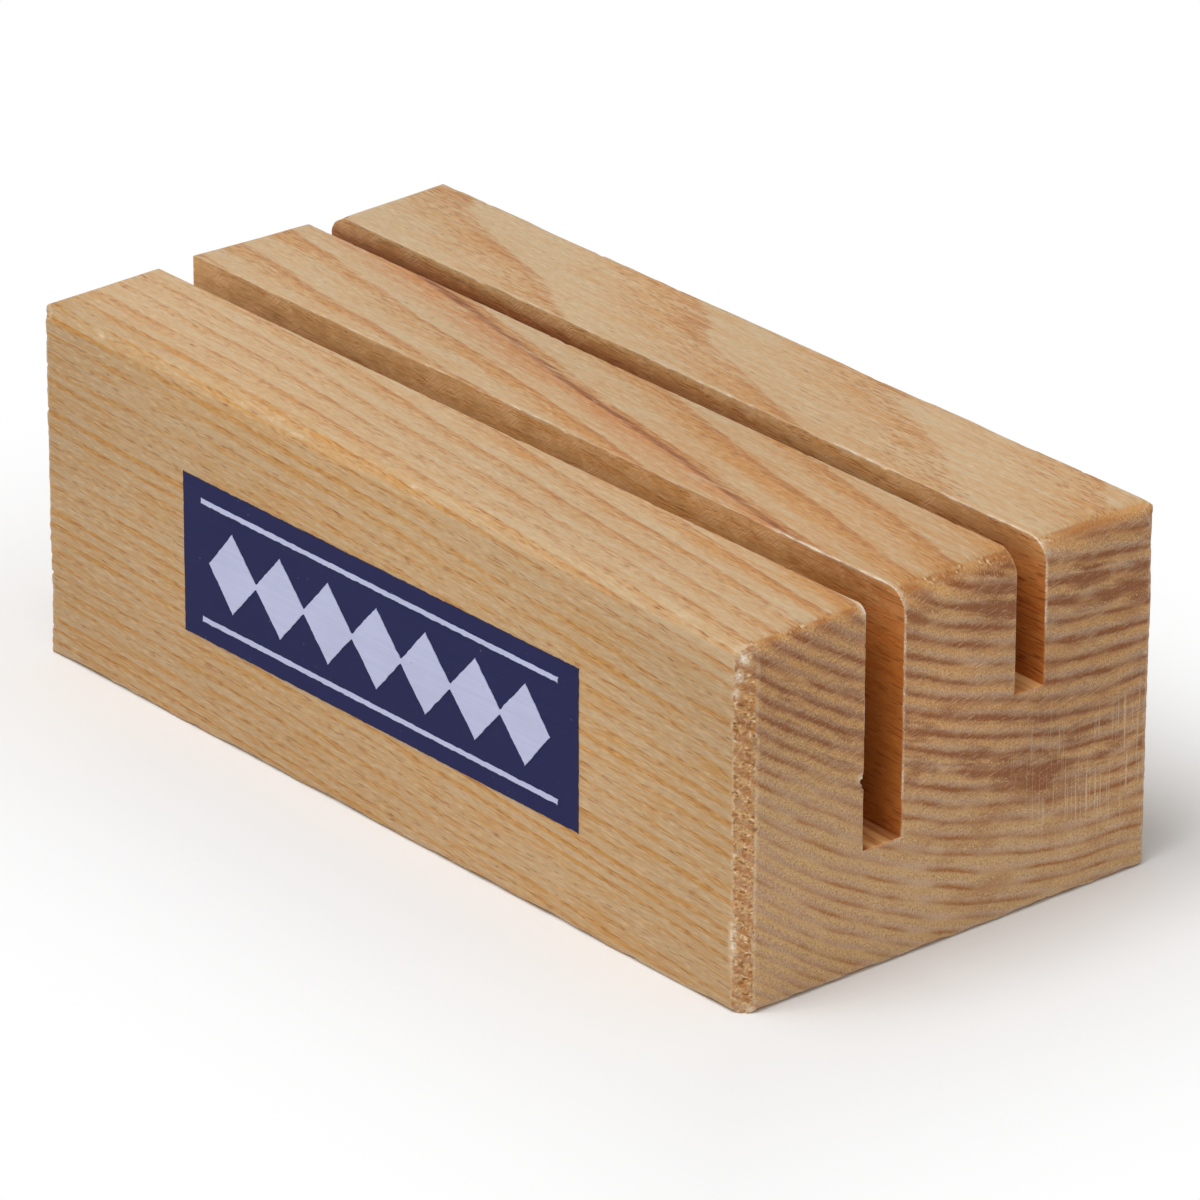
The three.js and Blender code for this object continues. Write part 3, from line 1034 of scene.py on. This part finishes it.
def ragged(outline, seed):
    """An outline in small steps, with its line worn a little inward here and there."""
    stepped = []
    for here, there in zip(outline, outline[1:] + outline[:1]):
        run = np.subtract(there, here)
        length = np.hypot(*run)
        inward = np.array([-run[1], run[0]]) / length
        count = max(2, round(length / RAGGED_STEP))
        along = np.arange(count)[:, None] / count
        line = np.array(here) + along * run
        flat = np.column_stack([line, np.zeros(count)])
        worn = lattice_noise(flat, (0.9, 0.9, 1), seed) + 0.7 * lattice_noise(flat, (0.35, 0.35, 1), seed + 1)
        stepped.append(line + RAGGED_DEPTH * (worn / 1.7)[:, None] * inward)
    return np.concatenate(stepped)


def build_film(node, material, seed, shape=panel):
    """An ink film in the place of its CAD node, with a printed edge instead of a sharp one."""
    low, high = (np.array(corner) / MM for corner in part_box(node))
    outline = ragged(shape(low[0], high[0], low[2], high[2]), seed)
    count = len(outline)
    rings = []
    for depth in (low[1], high[1]):
        rings.append(np.column_stack([outline[:, 0], np.full(count, depth), outline[:, 1]]))
    here = np.arange(count)
    there = np.roll(here, -1)
    walls = np.stack([there, here, here + count, there + count], axis=1)
    corners = np.concatenate([here, here[::-1] + count, walls.ravel()])
    film = mesh_object(node + "_film", np.concatenate(rings), corners, [count, count, *[4] * count])
    film.data.shade_flat()
    film.data.materials.append(material)
    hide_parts(node)


build_block()
navy = screen_ink("navy_ink", NAVY, NAVY_FLECK)
pale = screen_ink("pale_ink", PALE_INK, PALE_INK_FLECK)
build_film("print_ground", navy, 11)
build_film("print_rule_upper", pale, 21)
build_film("print_rule_lower", pale, 31)
build_film("print_lozenge_row", pale, 41, lozenge_row)

# Camera at the photograph's view: angles in degrees, the rest in millimetres and in pixels of a 1200 frame.
IMAGE_SIDE = 1200
AZIMUTH, ELEVATION, ROLL = 49.803, 24.356, 0.153
CAMERA_DISTANCE = 1215.6
FOCAL_PIXELS = 9218.8
MIDDLE_AT = (585.3, 576.9)
SENSOR = 36.0

# Light of the world around, and how much less comes from the right.
WORLD_LIGHT = 0.47
WORLD_LEAN = 0.02

# Lamp above the front: its place, aim and side in metres, and its power in watts.
KEY_PLACE = (-0.02, -0.62, 1.36)
KEY_AIM = (0, 0, 0.02)
KEY_SIDE = 1.0
KEY_POWER = 14.5

# Table: half its side in metres, and how far from the block it has become plain white, in millimetres.
TABLE_REACH = 6.0
TABLE_FADE = 70
TABLE_GREY = (0.9, 0.9, 0.9, 1)
WHITE = (1, 1, 1, 1)


def add_to_scene(name, data):
    thing = bpy.data.objects.new(name, data)
    bpy.context.scene.collection.objects.link(thing)
    return thing


def add_camera():
    azimuth, elevation, roll = (math.radians(angle) for angle in (AZIMUTH, ELEVATION, ROLL))
    back = Vector((
        math.sin(azimuth) * math.cos(elevation),
        -math.cos(azimuth) * math.cos(elevation),
        math.sin(elevation),
    ))
    level = Vector((math.cos(azimuth), math.sin(azimuth), 0))
    upright = back.cross(level)
    right = math.cos(roll) * level + math.sin(roll) * upright
    up = math.cos(roll) * upright - math.sin(roll) * level
    per_pixel = CAMERA_DISTANCE / FOCAL_PIXELS
    place = Vector((0, 0, HEIGHT / 2)) + back * CAMERA_DISTANCE
    place -= right * (MIDDLE_AT[0] - IMAGE_SIDE / 2) * per_pixel
    place += up * (MIDDLE_AT[1] - IMAGE_SIDE / 2) * per_pixel
    data = bpy.data.cameras.new("camera")
    data.sensor_width = SENSOR
    data.lens = FOCAL_PIXELS * SENSOR / IMAGE_SIDE
    camera = add_to_scene("camera", data)
    turn = Matrix((right, up, back)).transposed()
    camera.matrix_world = Matrix.Translation(place * MM) @ turn.to_4x4()
    bpy.context.scene.camera = camera


def add_lamp():
    data = bpy.data.lights.new("key", "AREA")
    data.shape = "SQUARE"
    data.size = KEY_SIDE
    data.energy = KEY_POWER
    lamp = add_to_scene("key", data)
    lamp.location = KEY_PLACE
    lamp.rotation_euler = (Vector(KEY_AIM) - Vector(KEY_PLACE)).to_track_quat("-Z", "Y").to_euler()


def seen_directly(graph):
    """1 for rays that show the stage as it is, from the camera or through gloss and glass, else 0."""
    path = graph.node("LightPath")
    rays = [Field(graph, path.outputs[f"Is {kind} Ray"]) for kind in ("Camera", "Glossy", "Transmission")]
    return graph.math("MAXIMUM", graph.math("MAXIMUM", rays[0], rays[1]), rays[2])


def add_floor():
    """A white table that keeps the block's shadow and fades to plain white away from it."""
    mesh = bpy.data.meshes.new("floor")
    signs = [(-1, -1), (1, -1), (1, 1), (-1, 1)]
    mesh.from_pydata([(TABLE_REACH * x, TABLE_REACH * y, 0) for x, y in signs], [], [(0, 1, 2, 3)])
    floor = add_to_scene("floor", mesh)
    graph = Graph("white_table")
    graph.feed(graph.shader.inputs["Base Color"], TABLE_GREY)
    graph.feed(graph.shader.inputs["Roughness"], 0.9)
    graph.feed(graph.shader.inputs["Specular IOR Level"], 0.0)
    x, y, _ = graph.millimetres()
    beside = graph.math("MAXIMUM", abs(x) - END, abs(y) - DEPTH / 2)
    away = graph.step(0, TABLE_FADE, beside)
    plain = graph.node("Emission")
    blend = graph.node("MixShader")
    graph.feed(blend.inputs[0], away * seen_directly(graph))
    graph.tree.links.new(graph.shader.outputs[0], blend.inputs[1])
    graph.tree.links.new(plain.outputs[0], blend.inputs[2])
    graph.tree.links.new(blend.outputs[0], graph.tree.nodes["Material Output"].inputs["Surface"])
    mesh.materials.append(graph.material)


def set_world():
    """Soft light from all round, weaker from the right, in front of plain white."""
    world = bpy.data.worlds.new("studio")
    bpy.context.scene.world = world
    world.use_nodes = True
    graph = Graph.of_tree(world.node_tree)
    right = graph.parts("TexCoord", "Generated")[0]
    soft = graph.tree.nodes["Background"]
    graph.feed(soft.inputs["Color"], WHITE)
    graph.feed(soft.inputs["Strength"], WORLD_LIGHT - WORLD_LEAN * right)
    plain = graph.node("Background")
    graph.feed(plain.inputs["Color"], WHITE)
    blend = graph.node("MixShader")
    graph.feed(blend.inputs[0], seen_directly(graph))
    graph.tree.links.new(soft.outputs[0], blend.inputs[1])
    graph.tree.links.new(plain.outputs[0], blend.inputs[2])
    graph.tree.links.new(blend.outputs[0], graph.tree.nodes["World Output"].inputs["Surface"])


add_camera()
add_floor()
set_world()
add_lamp()
bpy.context.scene.view_settings.view_transform = "Standard"
